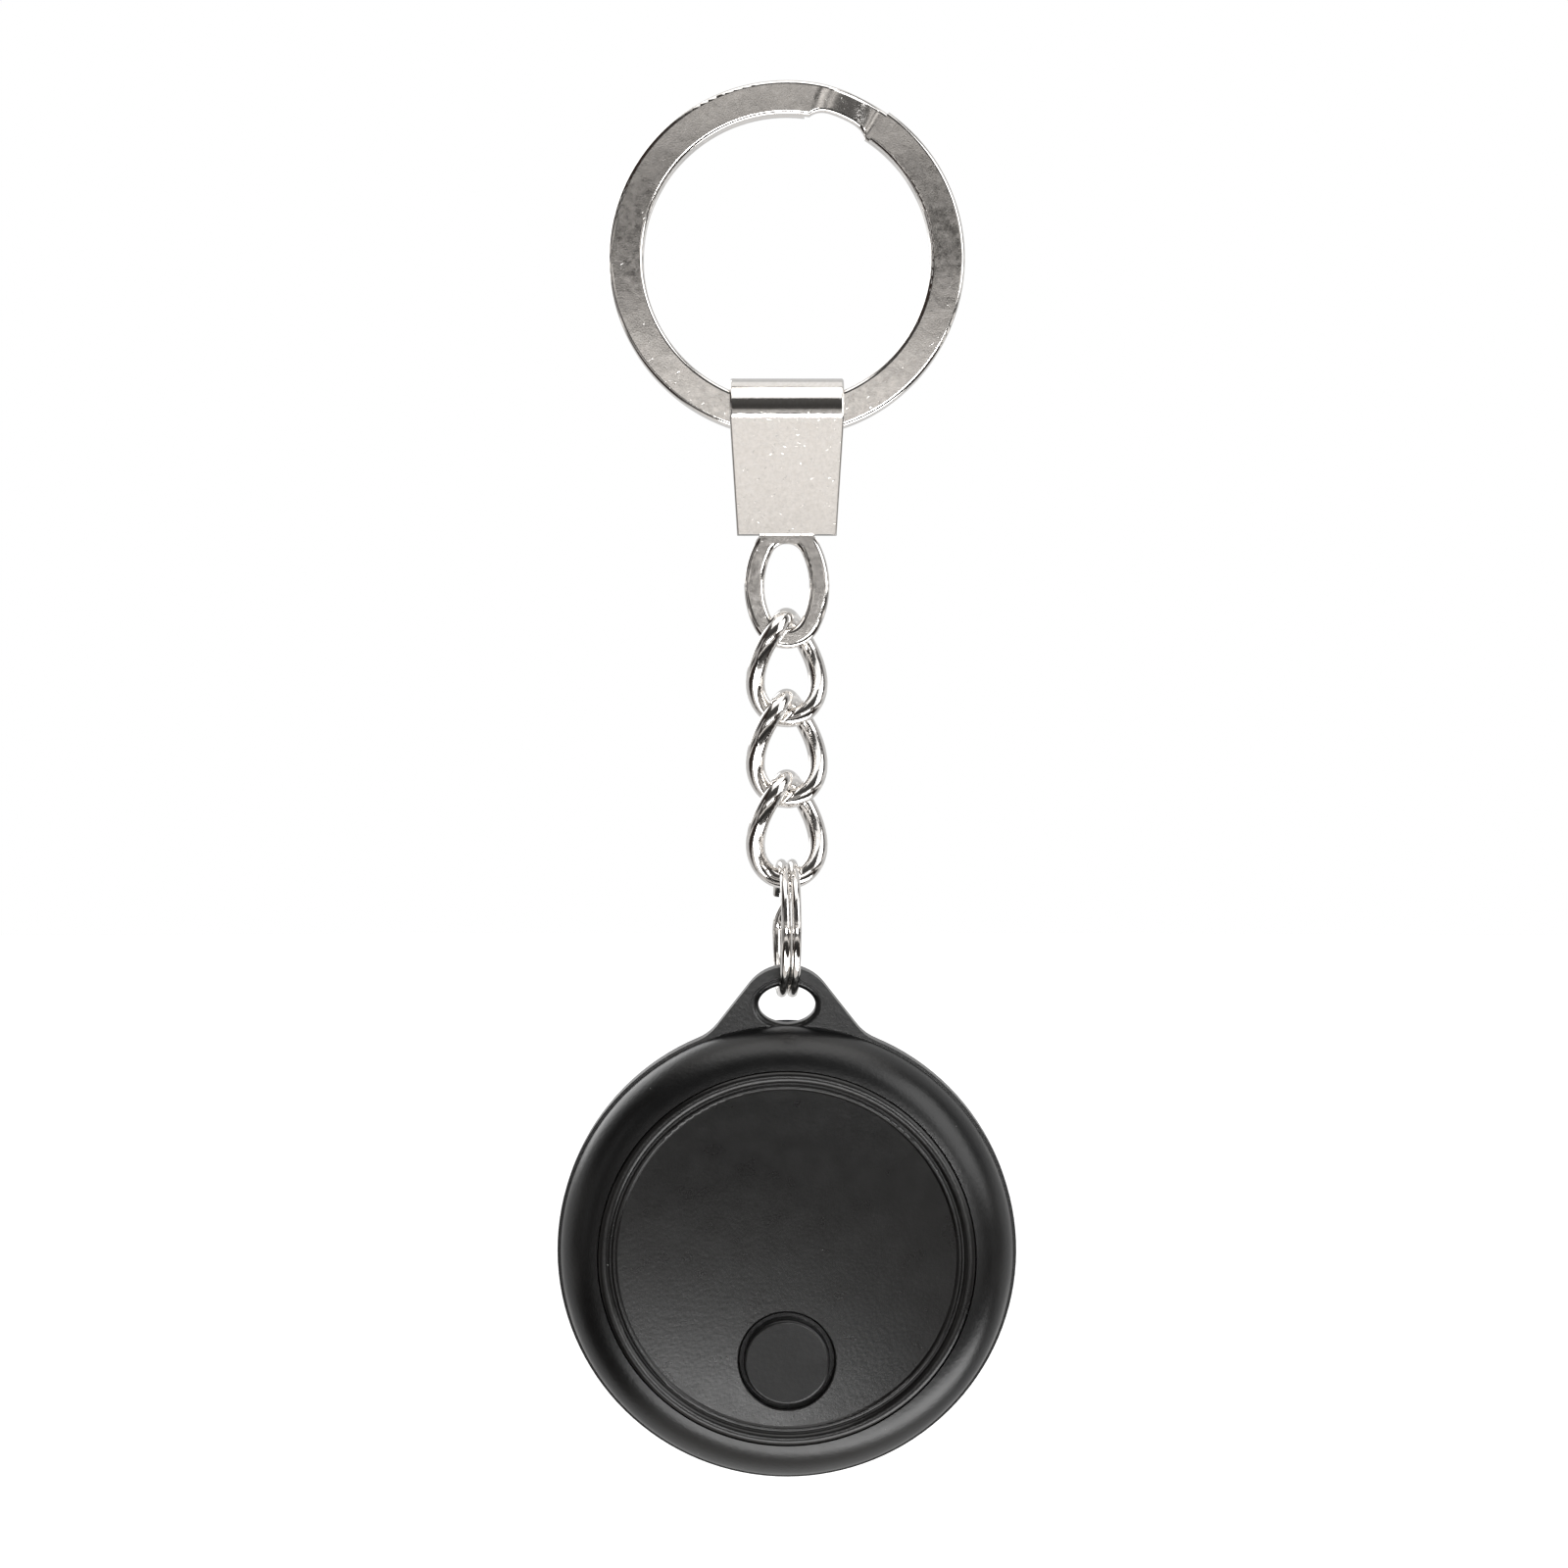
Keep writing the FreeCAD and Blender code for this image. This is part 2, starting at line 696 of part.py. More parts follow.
centreline, link_summit = link_centreline()
first, last = centreline.FirstParameter, centreline.LastParameter
summit = centreline.parameter(link_summit)
for number in (1, 2, 3):
    halves = [
        bent_wire(f"link_{number}_half_{half}", centreline.toShape(low, high), centreline.value(low),
                  centreline.tangent(low)[0], S.link_wire / 2)
        for half, (low, high) in enumerate(((first, summit), (summit, last)), start=1)
    ]
    link = doc.addObject("Part::Fuse", f"chain_link_{number}")
    link.Base, link.Tool = halves
    link.Label = f"chain_link_{number}"
    lower(link, link_one + link_step * (number - 1))
    NODES.append(link)

SPLIT_MARKS = 80


def split_mark(along):
    """Point on two turns side by side, joined by a short slanting step; along is in degrees."""
    reach = S.split_outer_radius.value - S.split_wire.value / 2
    gap = S.split_gap_angle.value
    share = min(max((along - (360 - gap)) / gap, 0), 1)
    aside = split_pitch.value / 2 * (1 - 2 * share * share * (3 - 2 * share))
    angle = math.radians(S.split_gap_start.value + gap / 2 + along)
    return FreeCAD.Vector(aside, reach * math.sin(angle), reach * math.cos(angle))


split_length = 720 - S.split_gap_angle.value
split_marks = [split_mark(split_length * index / SPLIT_MARKS) for index in range(SPLIT_MARKS + 1)]
split_curve = Part.BSplineCurve()
split_curve.interpolate(split_marks)
split_ring = bent_wire("split_ring", split_curve.toShape(), split_marks[0],
                       split_curve.tangent(split_curve.FirstParameter)[0], S.split_wire / 2)
split_ring.Placement = FreeCAD.Placement(
    FreeCAD.Vector(0, 0, -split_drop.value), FreeCAD.Rotation(FreeCAD.Vector(0, 0, 1), S.split_yaw.value))
bind(split_ring, "Placement.Base.z", -split_drop)
bind(split_ring, "Placement.Rotation.Angle", S.split_yaw, "deg")
NODES.append(split_ring)


# ---------------------------------------------------------------------------
# Case. Its own origin is the middle of the round body at its widest level, its front faces -Y.
# It hangs by the tab's hole, tilted back about that hole.
# ---------------------------------------------------------------------------
tab_middle = S.case_seam / 2


def hang(body, rise=0):
    """Places a piece of the case; rise moves its own origin up the case first."""
    tilt_cos = cosine(S.hang_tilt)
    tilt_sin = sine(S.hang_tilt)
    up = as_size(rise) - hole_centre
    base_y = -tab_middle * tilt_cos - up * tilt_sin
    base_z = -hole_drop - tab_middle * tilt_sin + up * tilt_cos
    body.Placement = FreeCAD.Placement(
        FreeCAD.Vector(0, base_y.value, base_z.value), FreeCAD.Rotation(FreeCAD.Vector(1, 0, 0), S.hang_tilt.value))
    bind(body, "Placement.Base.y", base_y)
    bind(body, "Placement.Base.z", base_z)
    bind(body, "Placement.Rotation.Angle", S.hang_tilt, "deg")


def arc_radius(width, height):
    """Radius of an arc that leaves its first end square to the width and reaches width by height."""
    return (width * width + height * height) / (width * 2)


side_cos = cosine(S.tab_side_angle)
side_sin = sine(S.tab_side_angle)


def tab_point(radius, along, side=1):
    """Point beside the tab's round top: out by the radius, then down along the straight side."""
    return [
        (radius * side_cos + along * side_sin) * side,
        tab_centre + radius * side_sin - along * side_cos,
    ]


def case_outline(sketch):
    """Round body and tab in one outline, with hollow corners between them."""
    reach = S.case_radius + S.tab_fillet
    out = tab_centre * side_sin + S.tab_radius + S.tab_fillet
    along = tab_centre * side_cos - root(reach * reach - out * out)
    hollow = tab_point(S.tab_radius + S.tab_fillet, along)
    foot = [hollow[0] * S.case_radius / reach, hollow[1] * S.case_radius / reach]
    outline(sketch, [
        tab_point(S.tab_radius, 0) + [-S.tab_radius],
        tab_point(S.tab_radius, 0, -1),
        tab_point(S.tab_radius, along, -1) + [S.tab_fillet],
        (-foot[0], foot[1], -S.case_radius),
        (0, -S.case_radius, -S.case_radius),
        (foot[0], foot[1], S.tab_fillet),
        tab_point(S.tab_radius, along),
    ])


def recess_outline(sketch):
    """Sunk field of the tab, inside its border and outside the dome."""
    radius = S.tab_radius - S.tab_border
    bottom = dome_radius
    out = tab_centre * side_sin + radius
    along = tab_centre * side_cos - root(bottom * bottom - out * out)
    outline(sketch, [
        tab_point(radius, 0) + [-radius],
        tab_point(radius, 0, -1),
        tab_point(radius, along, -1) + [bottom],
        tab_point(radius, along),
    ])


def hole_outline(sketch, extra=0):
    ellipse(sketch, hole_centre, S.hole_half_width + extra, S.hole_half_height + extra)


front_shell = new_body("front_shell")
dome_radius = S.case_radius - S.dome_step
dome_arc = arc_radius(dome_radius - bezel_opening, S.case_front)
lap = cavity + S.lap_wall
seat_inner = bezel_opening - S.seat_width
seat_back = S.seat_depth - S.seat_thickness
slab(front_shell, "Rim", "XZ_Plane", case_outline, 0, S.case_seam)
lathe(front_shell, "Dome", [
    (S.case_seam / 2, 0), (-S.case_front, 0), (-S.case_front, bezel_opening, dome_arc),
    (0, dome_radius), (S.case_seam / 2, dome_radius)])
lathe(front_shell, "Cavity", [
    (-S.case_front - OVER, 0), (-S.case_front - OVER, bezel_opening), (-S.seat_depth, bezel_opening),
    (-S.seat_depth, seat_inner), (-seat_back, seat_inner), (-seat_back, cavity - S.roof_slope),
    (-S.board_front - S.roof_clear, cavity), (S.case_seam - S.lap_depth, cavity), (S.case_seam - S.lap_depth, lap),
    (S.case_seam + OVER, lap), (S.case_seam + OVER, 0)], cut=True)
boss = slab(front_shell, "Boss", "XZ_Plane", lambda sketch: circle(sketch, 0, -boss_circle, S.boss_radius),
            -seat_back - S.root_depth, -S.board_front - S.screw_play)
around(front_shell, "Bosses", [boss], 3)
screw_end = S.screw_length - S.board_front + S.board_sheet
bore_cut = slab(front_shell, "ScrewHole", "XZ_Plane",
                lambda sketch: circle(sketch, 0, -boss_circle, S.screw_shank + S.screw_play),
                -screw_end - S.screw_end_play, -S.board_front, cut=True)
around(front_shell, "ScrewHoles", [bore_cut], 3)
slab(front_shell, "Recess", "XZ_Plane", recess_outline, -OVER, S.tab_recess, cut=True)
slab(front_shell, "HoleRim", "XZ_Plane", lambda sketch: hole_outline(sketch, S.hole_rim), 0, S.case_seam / 2)
slab(front_shell, "Hole", "XZ_Plane", hole_outline, -OVER, S.case_seam + OVER, cut=True)


def on_hole(edge, extra):
    """True for an edge round the tab's hole, front or back."""
    mark = edge.valueAt((edge.FirstParameter + edge.LastParameter) / 2)
    across = mark.x / (S.hole_half_width.value + extra)
    height = (mark.z - hole_centre.value) / (S.hole_half_height.value + extra)
    flat = flat_at(edge, "y", 0) or flat_at(edge, "y", S.case_seam.value)
    return flat and abs(math.hypot(across, height) - 1) < NEAR


dress(front_shell, "Fillet", "HoleRound", S.hole_round, lambda edge: on_hole(edge, 0))
hang(front_shell)

front_panel = new_body("front_panel")
dish_drop = S.dish_edge - S.dish_floor
dish_curve = arc_radius(dish_drop, dish_radius)
flat_level = S.dish_floor + dish_curve - root(dish_curve * dish_curve - S.dish_flat * S.dish_flat)
panel_radius = bezel_opening - S.fit_play
panel_seat = S.seat_depth + S.fit_play / 2
lathe(front_panel, "Plate", [
    (-S.panel_back, 0), (-S.panel_back, seat_inner - S.fit_play), (-panel_seat, seat_inner - S.fit_play),
    (-panel_seat, panel_radius), (-S.ridge_foot, panel_radius, -S.ridge_one_radius),
    (-S.ridge_foot, ridge_one_inner), (-S.ridge_foot, ridge_groove, -S.ridge_two_radius),
    (-S.ridge_foot, dish_radius + S.dish_lip), (-S.dish_edge, dish_radius, dish_curve),
    (-flat_level, S.dish_flat), (-flat_level, 0)])
slab(front_panel, "ButtonHole", "XZ_Plane",
     lambda sketch: circle(sketch, 0, -button_drop, S.button_radius + S.button_gap), -S.case_front, 0, cut=True)


def on_button_hole(edge):
    """True for the rim of the button's hole on the dish."""
    middle = edge.CenterOfMass
    raised = -middle.y > S.panel_back.value + NEAR
    return edge.isClosed() and raised and abs(middle.z + button_drop.value) < S.button_gap.value


dress(front_panel, "Fillet", "HoleRound", S.button_hole_round, on_button_hole)
hang(front_panel)

rear_shell = new_body("rear_shell")
seam = S.case_seam + S.seam_gap
back_inner = S.case_back - S.back_wall
ledge = S.case_back - S.ledge_depth
lap_front = S.case_seam - S.lap_depth
lip = cavity + S.fit_play
door_hole = door_radius + S.door_gap
lathe(rear_shell, "Shell", [
    (seam, S.case_radius - S.back_edge), (seam + S.back_lead, S.case_radius - S.back_step, S.back_curve),
    (S.case_back, S.case_radius - S.back_margin), (S.case_back, door_hole), (ledge, door_hole),
    (ledge, collar_radius), (back_inner, collar_radius), (back_inner, cavity - S.back_slope),
    (seam - S.back_slope_end, lip), (lap_front + S.fit_play, lip),
    (lap_front + S.fit_play, lap - S.fit_play), (seam, lap - S.fit_play)])
notch = lathe(rear_shell, "Notch", rectangle(
    ledge - OVER, S.case_back + OVER, door_hole - OVER, lug_radius + S.door_gap),
    cut=True, angle=S.lug_angle + S.notch_play * 2, turn=S.door_turn - S.notch_play)
around(rear_shell, "Notches", [notch], 3)
rib_foot = back_inner + S.rib_root
rib_outer = cavity - S.rib_wall_gap
rib_collar = collar_radius + S.rib_collar_gap
rib_step = S.door_skirt_end - S.rib_door_gap
rib = lathe(rear_shell, "Rib", [
    (rib_foot, rib_collar), (rib_foot, rib_outer), (S.rib_front, rib_outer), (S.rib_front, door_skirt_inner),
    (rib_step, door_skirt_inner), (rib_step, rib_collar)], angle=S.rib_angle, turn=S.rib_turn)
around(rear_shell, "Ribs", [rib], 4)
hang(rear_shell)

battery_door = new_body("battery_door")
door_front = S.case_back - S.door_sheet
lathe(battery_door, "Plate", [
    (S.case_back, 0), (S.case_back, door_radius - S.door_chamfer), (S.case_back - S.door_chamfer, door_radius),
    (door_front, door_radius), (door_front, door_skirt_radius), (S.door_skirt_end, door_skirt_radius),
    (S.door_skirt_end, door_skirt_inner), (door_front, door_skirt_inner), (door_front, 0)])
lug_inner = door_skirt_radius - S.door_skirt / 2
lug = lathe(battery_door, "Lug", rectangle(
    S.door_skirt_end, S.door_skirt_end + S.lug_sheet, lug_inner, lug_radius), angle=S.lug_angle)
around(battery_door, "Lugs", [lug], 3)
slab(battery_door, "CoinSlot", "XZ_Plane", lambda sketch: outline(sketch, [
    (S.slot_length / 2, S.slot_width / 2), (-S.slot_length / 2, S.slot_width / 2, -S.slot_width / 2),
    (-S.slot_length / 2, -S.slot_width / 2), (S.slot_length / 2, -S.slot_width / 2, -S.slot_width / 2)]),
    S.case_back - S.slot_depth, S.case_back + OVER, cut=True)
hang(battery_door)

door_seal = doc.addObject("Part::Torus", "door_seal")
door_seal.Label = "door_seal"
seal_radius = (door_skirt_radius + door_hole) / 2
bind(door_seal, "Radius1", seal_radius)
bind(door_seal, "Radius2", (door_hole - door_skirt_radius) / 2 - S.fit_play)
NODES.append(door_seal)


def hang_round(piece, depth, rise=0, side=0):
    """Places a round primitive, whose own axis is Z, with that axis along the case's depth."""
    hang(piece, rise)
    turn = FreeCAD.Placement(FreeCAD.Vector(side, depth.value, 0), FreeCAD.Rotation(FreeCAD.Vector(1, 0, 0), -90))
    base = piece.Placement
    for prop in ("Placement.Base.y", "Placement.Base.z", "Placement.Rotation.Angle"):
        piece.setExpression(prop, None)
    piece.Placement = base.multiply(turn)


hang_round(door_seal, door_front - (door_hole - door_skirt_radius) / 2)

button = new_body("button")
flange_back = S.panel_back - S.fit_play - S.button_flange_sheet
button_bore = S.button_radius - S.button_wall
cap_inside = S.button_face - S.button_wall
lathe(button, "Cap", [
    (-S.button_face, 0), (-S.button_face, S.button_radius - S.button_round, S.button_round),
    (-S.button_face + S.button_round, S.button_radius), (-S.panel_back + S.fit_play, S.button_radius),
    (-S.panel_back + S.fit_play, S.button_radius + S.button_flange),
    (-flange_back, S.button_radius + S.button_flange), (-flange_back, button_bore), (-cap_inside, button_bore),
    (-cap_inside, 0)])
hang(button, -button_drop)


def disc(label, front, back, radius, rise):
    """Round piece between two levels of the case."""
    piece = doc.addObject("Part::Cylinder", label)
    piece.Label = label
    bind(piece, "Radius", radius)
    bind(piece, "Height", back - front)
    hang_round(piece, front, rise)
    NODES.append(piece)
    return piece


switch_front = S.board_front + S.switch_body
plunger_front = switch_front + S.plunger_proud
disc("button_pad", -cap_inside + S.rest_gap, -plunger_front - S.fit_play, S.pad_radius, -button_drop)
disc("switch_plunger", -plunger_front, -S.board_front - S.button_travel - S.fit_play, S.plunger_radius, -button_drop)

switch_body = new_body("switch_body")
slab(switch_body, "Body", "XZ_Plane", lambda sketch: outline(sketch, rectangle(
    -S.switch_width / 2, S.switch_width / 2, -button_drop - S.switch_height / 2,
    -button_drop + S.switch_height / 2)), -switch_front, -S.board_front)
slab(switch_body, "Bore", "XZ_Plane",
     lambda sketch: circle(sketch, 0, -button_drop, S.plunger_radius + S.plunger_play),
     -switch_front - OVER, -S.board_front, cut=True)
hang(switch_body)

circuit_board = new_body("circuit_board")
board_back = -S.board_front + S.board_sheet
slab(circuit_board, "Board", "XZ_Plane", lambda sketch: circle(sketch, 0, 0, board_radius),
     -S.board_front, board_back)
board_hole = slab(circuit_board, "Hole", "XZ_Plane",
                  lambda sketch: circle(sketch, 0, -boss_circle, S.screw_shank + S.board_hole_play),
                  -S.board_front - OVER, board_back + OVER, cut=True)
around(circuit_board, "Holes", [board_hole], 3)
hang(circuit_board)

board_screws = new_body("board_screws")
board_screws.AllowCompound = True
screw_seat = board_back + S.screw_play
screw = slab(board_screws, "Shank", "XZ_Plane", lambda sketch: circle(sketch, 0, -boss_circle, S.screw_shank),
             -screw_end, screw_seat)
screw_cap = slab(board_screws, "Cap", "XZ_Plane", lambda sketch: circle(sketch, 0, -boss_circle, S.screw_head),
                 screw_seat, screw_seat + S.screw_head_height)
drive = slab(board_screws, "Drive", "XZ_Plane", lambda sketch: outline(sketch, rectangle(
    -S.screw_head - OVER, S.screw_head + OVER, -boss_circle - S.screw_slot / 2, -boss_circle + S.screw_slot / 2)),
    screw_seat + S.screw_head_height / 2, screw_seat + OVER, cut=True)
around(board_screws, "Screws", [screw, screw_cap, drive], 3)
hang(board_screws)


def block(label, u, v, width, height, thickness):
    """Flat component on the front of the board, centred at u and v."""
    piece = new_body(label)
    slab(piece, "Block", "XZ_Plane", lambda sketch: outline(sketch, rectangle(
        u - width / 2, u + width / 2, v - height / 2, v + height / 2)),
        -S.board_front - thickness, -S.board_front)
    hang(piece)
    return piece


block("bluetooth_chip", S.chip_offset, as_size(0), S.chip_width, S.chip_width, S.chip_height)
block("crystal", S.chip_offset, -S.crystal_drop, S.crystal_length, S.crystal_width, S.crystal_height)
block("chip_antenna", as_size(0), S.antenna_rise, S.antenna_length, S.antenna_width, S.chip_height)

PASSIVES = 6
smd_passives = new_body("smd_passives")
smd_passives.AllowCompound = True
for row in range(PASSIVES):
    level = S.passive_pitch * (row - (PASSIVES - 1) / 2)
    slab(smd_passives, f"Passive{row}", "XZ_Plane", lambda sketch, level=level: outline(sketch, rectangle(
        -S.passive_offset - S.passive_length / 2, -S.passive_offset + S.passive_length / 2,
        level - S.passive_width / 2, level + S.passive_width / 2)),
        -S.board_front - S.passive_height, -S.board_front)
hang(smd_passives)

buzzer_front = -S.panel_back + S.rest_gap
buzzer_back = buzzer_front + S.buzzer_sheet
ceramic_back = buzzer_back + S.buzzer_ceramic_sheet
disc("buzzer_plate", buzzer_front, buzzer_back, S.buzzer_radius, buzzer_centre)
disc("buzzer_ceramic", buzzer_back, ceramic_back, S.buzzer_ceramic_radius, buzzer_centre)


def bent_strip(piece, name, marks, middle, width):
    """Strip bent in plan: marks are (x, depth) along one face, and it spans the width about a level."""
    sheet = S.leaf_sheet
    back = [(u, v + sheet) for u, v in reversed(marks)]
    slab_up(piece, name, marks + back, middle - width / 2, middle + width / 2)


def slab_up(piece, name, corners, low, high):
    """Straight solid between two levels along Z."""
    sketch = new_sketch(piece, name + "Sketch", "XY_Plane", low)
    outline(sketch, corners)
    pad = piece.newObject("PartDesign::Pad", name)
    pad.Profile = sketch
    pad.Length = (high - low).value
    bind(pad, "Length", high - low)
    piece.Tip = pad


buzzer_contacts = new_body("buzzer_contacts")
buzzer_contacts.AllowCompound = True
foot_level = -S.board_front - S.leaf_sheet
for name, start, side, surface in (
        ("Inner", S.leaf_inner, 1, ceramic_back), ("Outer", S.leaf_edge - S.buzzer_radius, -1, buzzer_back)):
    touch = surface + S.touch_gap
    foot = start + S.leaf_run * side
    marks = [(start, touch), (start + S.leaf_tip * side, touch), (foot, foot_level),
             (foot + S.leaf_foot * side, foot_level)]
    bent_strip(buzzer_contacts, name, marks[::side], buzzer_centre, S.buzzer_leaf_width)
hang(buzzer_contacts)

coin_cell = new_body("coin_cell")
cell_back = S.cell_front + S.cell_height
lathe(coin_cell, "Can", [
    (S.cell_front, 0), (S.cell_front, S.cell_radius - S.cell_step_width),
    (S.cell_front + S.cell_step, S.cell_radius - S.cell_step_width),
    (S.cell_front + S.cell_step, S.cell_radius - S.cell_chamfer),
    (S.cell_front + S.cell_step + S.cell_chamfer, S.cell_radius),
    (cell_back - S.cell_round, S.cell_radius), (cell_back, S.cell_radius - S.cell_round), (cell_back, 0)])
hang(coin_cell)

negative_contact = new_body("negative_contact")
leaf_back = board_back + S.rest_gap
leaf_top = S.cell_front - S.leaf_sheet - S.negative_gap
bent_strip(negative_contact, "Leaf", [
    (-S.negative_foot, leaf_back), (as_size(0), leaf_back), (S.negative_rise, leaf_top), (S.negative_tip, leaf_top),
], as_size(0), S.contact_width)
hang(negative_contact)

positive_contact = new_body("positive_contact")
contact_foot = S.cell_radius + S.positive_foot
contact_end = contact_foot + S.positive_foot_length
touch = S.cell_radius + S.touch_gap
flare = S.cell_radius + S.positive_flare
slab_up(positive_contact, "Leaf", [
    (contact_end, leaf_back), (contact_end, leaf_back + S.leaf_sheet),
    (contact_foot + S.leaf_sheet, leaf_back + S.leaf_sheet), (touch + S.leaf_sheet, S.positive_low),
    (touch + S.leaf_sheet, S.positive_high), (flare + S.leaf_sheet, S.positive_end),
    (flare, S.positive_end), (touch, S.positive_high), (touch, S.positive_low), (contact_foot, leaf_back),
], -S.contact_width / 2, S.contact_width / 2)
hang(positive_contact)

doc.recompute()
failed = [item.Name for item in doc.Objects if "Invalid" in item.State or "Error" in item.State]
failed += [node.Label for node in NODES if node.Shape.isNull() or not node.Shape.isValid()]
if failed:
    raise RuntimeError(f"These pieces failed: {failed}")
os.makedirs("parts", exist_ok=True)
for node in NODES:
    node.Shape.exportStep(f"parts/{node.Label}.step")
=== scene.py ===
import math

import bpy
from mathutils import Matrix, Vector


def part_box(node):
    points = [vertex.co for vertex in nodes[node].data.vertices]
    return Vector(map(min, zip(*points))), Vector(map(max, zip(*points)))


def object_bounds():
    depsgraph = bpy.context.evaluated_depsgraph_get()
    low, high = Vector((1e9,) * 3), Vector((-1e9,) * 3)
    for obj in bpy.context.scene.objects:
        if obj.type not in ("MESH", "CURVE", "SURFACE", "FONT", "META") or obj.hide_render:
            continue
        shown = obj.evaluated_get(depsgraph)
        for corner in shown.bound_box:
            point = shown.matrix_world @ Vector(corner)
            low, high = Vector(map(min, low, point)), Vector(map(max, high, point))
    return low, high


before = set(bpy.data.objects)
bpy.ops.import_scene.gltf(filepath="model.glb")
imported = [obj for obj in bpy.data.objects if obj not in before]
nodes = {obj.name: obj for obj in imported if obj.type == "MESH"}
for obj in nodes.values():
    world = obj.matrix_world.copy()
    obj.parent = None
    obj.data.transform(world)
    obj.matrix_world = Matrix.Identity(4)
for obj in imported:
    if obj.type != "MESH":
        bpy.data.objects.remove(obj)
cad_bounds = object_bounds()


# ---------------------------------------------------------------------------
# Node trees. Lengths are in metres, colours are linear.
# ---------------------------------------------------------------------------
class Tree:
    """Helpers that add nodes to a tree. Textures read the coordinates named at the start."""

    def __init__(self, tree, coordinates):
        self.tree = tree
        self.place = self.add("ShaderNodeTexCoord").outputs[coordinates]

    def add(self, kind, **settings):
        node = self.tree.nodes.new(kind)
        for key, value in settings.items():
            setattr(node, key, value)
        return node

    def link(self, source, target):
        self.tree.links.new(source, target)

    def stretched(self, scale, turn=0.0):
        """The coordinates drawn out by these factors and turned about Y."""
        mapping = self.add("ShaderNodeMapping", vector_type="TEXTURE")
        mapping.inputs["Scale"].default_value = scale
        mapping.inputs["Rotation"].default_value = (0, turn, 0)
        self.link(self.place, mapping.inputs["Vector"])
        return mapping.outputs["Vector"]

    def noise(self, size, detail=3.0, rough=0.5, place=None):
        """Noise whose features are about this size."""
        node = self.add("ShaderNodeTexNoise")
        node.inputs["Scale"].default_value = 1 / size
        node.inputs["Detail"].default_value = detail
        node.inputs["Roughness"].default_value = rough
        self.link(place or self.place, node.inputs["Vector"])
        return node.outputs["Fac"]

    def cells(self, size, feature="F1"):
        """Distance to a cell's centre or edge, for cells of about this size."""
        node = self.add("ShaderNodeTexVoronoi", feature=feature)
        node.inputs["Scale"].default_value = 1 / size
        self.link(self.place, node.inputs["Vector"])
        return node.outputs["Distance"]

    def ramp(self, source, low, high, start, end):
        """Maps a source between low and high to start and end."""
        node = self.add("ShaderNodeMapRange")
        for key, value in (("From Min", low), ("From Max", high), ("To Min", start), ("To Max", end)):
            node.inputs[key].default_value = value
        self.link(source, node.inputs["Value"])
        return node.outputs["Result"]

    def tones(self, source, stops):
        """Colour ramp: stops are (position, colour)."""
        node = self.add("ShaderNodeValToRGB")
        ramp = node.color_ramp
        while len(ramp.elements) < len(stops):
            ramp.elements.new(0.5)
        for element, (position, color) in zip(ramp.elements, stops):
            element.position = position
            element.color = (*color, 1)
        self.link(source, node.inputs["Fac"])
        return node.outputs["Color"]

    def math(self, operation, first, second):
        node = self.add("ShaderNodeMath", operation=operation)
        self.link(first, node.inputs[0])
        self.link(second, node.inputs[1])
        return node.outputs[0]

    def mixed(self, factor, first, second):
        """Mix of two sources. Either can be a plain colour."""
        node = self.add("ShaderNodeMix", data_type="RGBA")
        self.link(factor, node.inputs["Factor"])
        for name, value in (("A", first), ("B", second)):
            if isinstance(value, tuple):
                node.inputs[name].default_value = (*value, 1)
            else:
                self.link(value, node.inputs[name])
        return node.outputs["Result"]


class Finish(Tree):
    """A material around one Principled shader."""

    def __init__(self, name, color, rough, metallic=0.0):
        self.material = bpy.data.materials.new(name)
        self.material.use_nodes = True
        super().__init__(self.material.node_tree, "Object")
        self.shader = self.tree.nodes["Principled BSDF"]
        self.shader.inputs["Base Color"].default_value = (*color, 1)
        self.shader.inputs["Metallic"].default_value = metallic
        self.shader.inputs["Roughness"].default_value = rough
        self.normal = None

    def color(self, source):
        self.link(source, self.shader.inputs["Base Color"])

    def roughness(self, source):
        self.link(source, self.shader.inputs["Roughness"])

    def bump(self, source, depth):
        """Adds relief of this depth on top of the relief added before."""
        node = self.add("ShaderNodeBump")
        node.inputs["Distance"].default_value = depth
        self.link(source, node.inputs["Height"])
        if self.normal is not None:
            self.link(self.normal, node.inputs["Normal"])
        self.normal = node.outputs["Normal"]
        self.link(self.normal, self.shader.inputs["Normal"])


# ---------------------------------------------------------------------------
# Materials
# ---------------------------------------------------------------------------
NICKEL = (0.80, 0.775, 0.75)
WARM_NICKEL = (0.77, 0.745, 0.715)
PALE_NICKEL = (0.84, 0.82, 0.80)
SCRATCH_TURNS = (0.5, -0.6, 1.5, 2.3)
DUST = (0.30, 0.30, 0.29)
DUST_SPACING = 0.0021
TRACK_SPACING = 0.0023
TRACK_GREEN = (0.02, 0.20, 0.09)
BOARD_GREEN = (0.008, 0.10, 0.045)
ROLLING_DEPTH = 0.000004
MOTTLE = 0.0006
MOTTLE_DEPTH = 0.000008


def scaled(color, factor):
    return tuple(min(part * factor, 1) for part in color)


